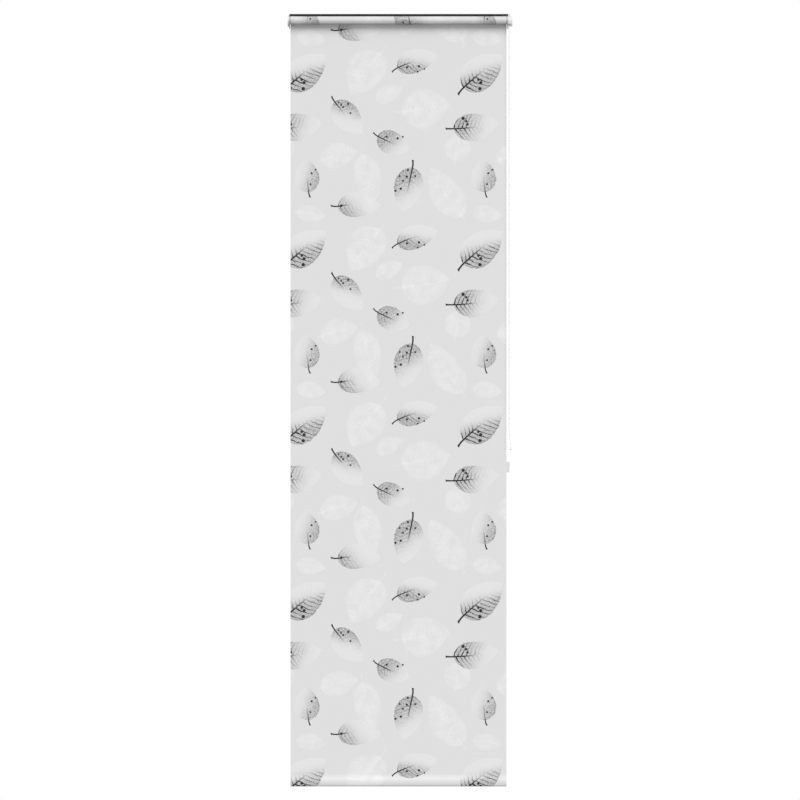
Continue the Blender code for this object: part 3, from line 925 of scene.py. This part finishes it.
def bead_chain():
    """Beads at an even pitch on a thin string, in one loop over the wheel."""
    line = smooth_line(chain_route())
    closed = np.array([*line, line[0]])
    runs = lengths_along(closed)
    pitch = math.tau * WHEEL_PITCH_RADIUS / POCKETS
    count = round(runs[-1] / pitch)

    def at(distance):
        distance = distance % runs[-1]
        return Vector([np.interp(distance, runs, closed[:, axis]) for axis in range(3)])

    bead = ball(CHAIN_DIAMETER / 2, BEAD_RINGS, BEAD_SIDES)
    solids = []
    for index in range(count):
        here, following = at(runs[-1] * index / count), at(runs[-1] * (index + 1) / count)
        turned = np.array((following - here).to_track_quat("Z", "Y").to_matrix())
        for corners, faces in (bead, string_between((following - here).length)):
            solids.append((np.array(here) + corners @ turned.T, faces))
    mesh = joined_mesh("chain_beads", solids)
    chain = add_object("chain_beads", mesh, bead_plastic(), smooth_angle=80.0)
    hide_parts("bead_chain")


# ---------------------------------------------------------------- wheel

WHEEL_SIDES = 72
WHEEL_HALF_WIDTH = 3.3 * MM
WHEEL_EDGE = 0.4 * MM
HUB_RADIUS = 3.0 * MM
GROOVE_HALF_WIDTH, GROOVE_HALF_FOOT, GROOVE_DEPTH = 1.1 * MM, 0.7 * MM, 1.6 * MM
POCKET_CLEARANCE = 0.15 * MM
POCKET_RINGS, POCKET_SIDES = 10, 18


def turned_solid(name, profile):
    """A solid turned about the roller's axis. The profile is (x, radius), from foot to foot on the axis."""
    made = bmesh.new()
    points = [made.verts.new((x, 0.0, AXIS_Z + radius)) for x, radius in profile]
    edges = [made.edges.new(pair) for pair in zip(points, points[1:])]
    bmesh.ops.spin(
        made,
        geom=points + edges,
        cent=(0.0, 0.0, AXIS_Z),
        axis=(1.0, 0.0, 0.0),
        angle=math.tau,
        steps=WHEEL_SIDES,
        use_merge=True,
    )
    bmesh.ops.remove_doubles(made, verts=made.verts, dist=0.005 * MM)
    bmesh.ops.recalc_face_normals(made, faces=made.faces)
    mesh = bpy.data.meshes.new(name)
    made.to_mesh(mesh)
    made.free()
    return mesh


def cut_out(mesh, cutter_mesh):
    """The mesh less the cutter, in triangles and without slivers."""
    body = bpy.data.objects.new("body", mesh)
    cutter = bpy.data.objects.new("cutter", cutter_mesh)
    for made in (body, cutter):
        bpy.context.scene.collection.objects.link(made)
    cut = body.modifiers.new("cut", "BOOLEAN")
    cut.operation = "DIFFERENCE"
    cut.object = cutter
    cut.solver = "EXACT"
    bpy.context.view_layer.update()
    depsgraph = bpy.context.evaluated_depsgraph_get()
    result = bpy.data.meshes.new_from_object(body.evaluated_get(depsgraph))
    for made in (body, cutter):
        bpy.data.objects.remove(made)
    clean = bmesh.new()
    clean.from_mesh(result)
    bmesh.ops.dissolve_degenerate(clean, edges=clean.edges, dist=0.02 * MM)
    bmesh.ops.triangulate(clean, faces=clean.faces)
    clean.to_mesh(result)
    clean.free()
    return result


def sprocket():
    """The wheel, with a pocket for each bead and a groove for the string between them."""
    radius, hub_end = size_of("chain_wheel").z / 2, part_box("chain_wheel")[1].x
    near, far = CHAIN_X - WHEEL_HALF_WIDTH, CHAIN_X + WHEEL_HALF_WIDTH
    profile = [
        (near, 0.0),
        (near, radius - WHEEL_EDGE),
        (near + WHEEL_EDGE, radius),
        (CHAIN_X - GROOVE_HALF_WIDTH, radius),
        (CHAIN_X - GROOVE_HALF_FOOT, radius - GROOVE_DEPTH),
        (CHAIN_X + GROOVE_HALF_FOOT, radius - GROOVE_DEPTH),
        (CHAIN_X + GROOVE_HALF_WIDTH, radius),
        (far - WHEEL_EDGE, radius),
        (far, radius - WHEEL_EDGE),
        (far, HUB_RADIUS),
        (hub_end, HUB_RADIUS),
        (hub_end, 0.0),
    ]
    corners, faces = ball(CHAIN_DIAMETER / 2 + POCKET_CLEARANCE, POCKET_RINGS, POCKET_SIDES)
    corners = corners[:, [2, 0, 1]]  # poles along X
    ring = circle(WHEEL_PITCH_RADIUS, CHAIN_START, CHAIN_START + 360, POCKETS)[:-1]
    pockets = [(corners + np.array((CHAIN_X, y, AXIS_Z + z)), faces) for y, z in ring]
    mesh = cut_out(turned_solid("sprocket", profile), joined_mesh("pockets", pockets))
    finish = moulded("wheel_white", light=0.80, dark=0.74, rough=0.26)
    wheel = add_object("sprocket", mesh, finish, smooth_angle=40.0)
    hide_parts("chain_wheel")


# ---------------------------------------------------------------- bar and label

BAR_HALF_HEIGHT = 13.1 * MM
BAR_HALF_THICKNESS = 3.8 * MM
BAR_GAP = 0.1 * MM
BAR_SIDES = 64
BAR_END = 0.8 * MM  # the softened ends' length and depth
BAR_END_PROFILE = ((0.0, 1.0), (0.25, 0.45), (1.0, 0.0))  # shares of that: from the end, inwards


def weight_bar():
    """The oval bar in the hem, with softened ends."""
    low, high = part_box("hem_bar")
    centre_z = HEM_BOTTOM + SHEET_THICKNESS + BAR_GAP + BAR_HALF_HEIGHT
    stations = [(low.x + along * BAR_END, inset * BAR_END) for along, inset in BAR_END_PROFILE]
    stations += [(low.x + high.x - x, inset) for x, inset in reversed(stations)]
    rings = []
    for x, inset in stations:
        radii = (BAR_HALF_THICKNESS - inset, BAR_HALF_HEIGHT - inset)
        oval = arc((SHEET_Y, centre_z), radii, 0, 360, BAR_SIDES)[:-1]
        rings.append(np.column_stack([np.full(BAR_SIDES, x), oval]))
    mesh = mesh_from("weight_bar", *closed_tube(rings))
    bar = add_object("weight_bar", mesh, moulded("bar_white", light=0.80, dark=0.76, rough=0.29))
    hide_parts("hem_bar")


LABEL_WIDTH = 15.8 * MM
LABEL_HEIGHT = 32.0 * MM
LABEL_ROWS = 13
LABEL_STEPS = 8  # along each half, and round the fold
LABEL_BEND = 0.28 * MM  # radius of the fold
LABEL_TILT = math.radians(4.0)
LABEL_RIPPLE = 0.036 * MM
RIPPLE_TURN = 5.0  # radians over the label's width
RIBBON_THICKNESS = 0.32 * MM


def ribbon_line():
    """The ribbon's middle line (x, y) seen from above: right in front, round the fold, and back."""
    reach = LABEL_WIDTH / 2 - LABEL_BEND - RIBBON_THICKNESS / 2
    front = [(x, -LABEL_BEND) for x in np.linspace(-LABEL_WIDTH / 2, reach, LABEL_STEPS + 1)]
    fold = circle(LABEL_BEND, -90, 90, LABEL_STEPS)[1:-1] + (reach, 0.0)
    behind = [(x, -y) for x, y in reversed(front)]
    return np.concatenate([front, fold, behind])


def ribbon_label():
    """A bare woven ribbon, folded at its outer side and sewn round the cloth's edge."""
    line = ribbon_line()
    cut = lengths_along(line)
    outwards = right_of(line) * RIBBON_THICKNESS / 2
    ripple = LABEL_RIPPLE * np.sin(line[:, 0] / LABEL_WIDTH * RIPPLE_TURN)
    heights = np.linspace(LABEL_HEIGHT / 2, -LABEL_HEIGHT / 2, LABEL_ROWS)
    corners, places = [], []
    for side in (1, -1):
        place = line + side * outwards
        place[:, 1] += ripple
        for height in heights:
            corners.extend((x, y, height) for x, y in place)
            places.extend((along, height) for along in cut)
    tilt = np.array(Matrix.Rotation(LABEL_TILT, 3, "Y"))
    corners = np.array(corners) @ tilt.T + np.array(centre_of("side_label"))
    mesh = mesh_from("ribbon_label", corners, sheet_faces(LABEL_ROWS, len(line)))
    owners = np.zeros(len(mesh.loops), np.int32)
    mesh.loops.foreach_get("vertex_index", owners)
    layer = mesh.uv_layers.new(name="ribbon")
    layer.uv.foreach_set("vector", np.array(places, np.float32)[owners].ravel())
    label = add_object("ribbon_label", mesh, woven_ribbon(), smooth_angle=50.0)
    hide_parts("side_label")


# ---------------------------------------------------------------- CAD pieces that stay

WELD_DISTANCE = 0.01 * MM
EDGE_SOFTNESS = 0.3 * MM
SOFTENED_ANGLE = math.radians(40.0)
# How far in from its outer face each cap stays free of painted shade: the painted shade lies on its guide, in
# the gap between cap and roll
LEFT_UNSHADED = 3.2 * MM
RIGHT_UNSHADED = 13.1 * MM


def finish_nodes():
    """Finishes the CAD pieces that stay as they are, and softens their edges."""
    left_seam = -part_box("end_cap_left")[0].x - LEFT_UNSHADED
    right_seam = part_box("end_cap_right")[1].x - RIGHT_UNSHADED
    plug = moulded("plug_grey", light=0.42, dark=0.38)
    finishes = {
        "head_rail": (powder_coat(), "rail"),
        # The caps' white carries painted light lower down and painted shade on the guides
        "end_cap_left": (cap_plastic("cap_left_white", left_seam, painted_light=0.4), "cap"),
        "end_cap_right": (cap_plastic("cap_right_white", right_seam, painted_light=0.75), "cap"),
        "roller_tube": (drawn_aluminium(), "tube"),
        "idle_plug": (plug, "plug"),
        "drive_plug": (plug, "plug"),
    }
    for name, (finish, slot) in finishes.items():
        node = NODES[name]
        node.data.materials.clear()
        node.data.materials.append(finish.material)
        node.data.shade_smooth()
        join = node.modifiers.new("join", "WELD")
        join.merge_threshold = WELD_DISTANCE
        soften = node.modifiers.new("soften", "BEVEL")
        soften.width = EDGE_SOFTNESS
        soften.segments = 2
        soften.limit_method = "ANGLE"
        soften.angle_limit = SOFTENED_ANGLE
        even = node.modifiers.new("even", "WEIGHTED_NORMAL")
        even.mode = "FACE_AREA"


# ---------------------------------------------------------------- stage and light

LIGHT_FROM_BELOW = 0.38
LIGHT_FROM_ABOVE = 0.68
WHITE = (1.0, 1.0, 1.0, 1.0)
FLOOR_Z = HEM_BOTTOM - 0.22
FLOOR_HALF_WIDTH = 4.0
FLOOR_FRONT, FLOOR_BACK = -5.0, 3.0


def add_sun(name, strength, elevation, azimuth, angle):
    """A sun seen from the object at this elevation, and this far to the right of straight in front."""
    data = bpy.data.lights.new(name, "SUN")
    data.energy = strength
    data.angle = math.radians(angle)
    light = bpy.data.objects.new(name, data)
    up, sideways = math.radians(elevation), math.radians(azimuth)
    level = Vector((math.sin(sideways), -math.cos(sideways), 0.0)) * math.cos(up)
    towards = level + Vector((0.0, 0.0, math.sin(up)))
    light.rotation_euler = towards.to_track_quat("Z", "Y").to_euler()
    bpy.context.scene.collection.objects.link(light)


def pale_room():
    """White where the camera looks past the object, and lighter from above than from below elsewhere."""
    world = bpy.data.worlds.new("studio")
    bpy.context.scene.world = world
    world.use_nodes = True
    tree = world.node_tree
    seen = tree.nodes["Background"]
    lit = tree.nodes.new("ShaderNodeBackground")
    for background in (seen, lit):
        background.inputs["Color"].default_value = WHITE
    place = tree.nodes.new("ShaderNodeTexCoord")
    split = tree.nodes.new("ShaderNodeSeparateXYZ")
    height = tree.nodes.new("ShaderNodeMapRange")
    for name, value in (("From Min", -1.0), ("To Min", LIGHT_FROM_BELOW), ("To Max", LIGHT_FROM_ABOVE)):
        height.inputs[name].default_value = value
    ray = tree.nodes.new("ShaderNodeLightPath")
    mix = tree.nodes.new("ShaderNodeMixShader")
    tree.links.new(place.outputs["Generated"], split.inputs[0])
    tree.links.new(split.outputs["Z"], height.inputs["Value"])
    tree.links.new(height.outputs["Result"], lit.inputs["Strength"])
    tree.links.new(ray.outputs["Is Camera Ray"], mix.inputs[0])
    tree.links.new(lit.outputs[0], mix.inputs[1])
    tree.links.new(seen.outputs[0], mix.inputs[2])
    tree.links.new(mix.outputs[0], tree.nodes["World Output"].inputs["Surface"])


def studio_floor():
    finish = Finish("studio_floor", Specular_IOR_Level=0.1)
    cloud = finish.noise(finish.place(), scale=2.0, detail=2.0)
    finish.colour(finish.blend(cloud, grey(0.72), grey(0.74)))
    finish.roughness(finish.scaled(cloud, 0.05, 0.8))

    outline = (
        (-FLOOR_HALF_WIDTH, FLOOR_FRONT, FLOOR_Z),
        (FLOOR_HALF_WIDTH, FLOOR_FRONT, FLOOR_Z),
        (FLOOR_HALF_WIDTH, FLOOR_BACK, FLOOR_Z),
        (-FLOOR_HALF_WIDTH, FLOOR_BACK, FLOOR_Z),
    )
    floor = bpy.data.objects.new("floor", mesh_from("floor", outline, [range(4)]))
    floor.data.materials.append(finish.material)
    bpy.context.scene.collection.objects.link(floor)
    floor.visible_diffuse = False  # so the cloth is lit evenly from top to hem


def studio():
    pale_room()
    add_sun("key", strength=2.25, elevation=45, azimuth=10, angle=36)
    add_sun("back", strength=0.6, elevation=30, azimuth=160, angle=30)
    studio_floor()
    bpy.context.scene.view_settings.view_transform = "Standard"


# ---------------------------------------------------------------- the blind

make_camera()
bead_chain()
cloth_piece()
sprocket()
weight_bar()
ribbon_label()
finish_nodes()
studio()
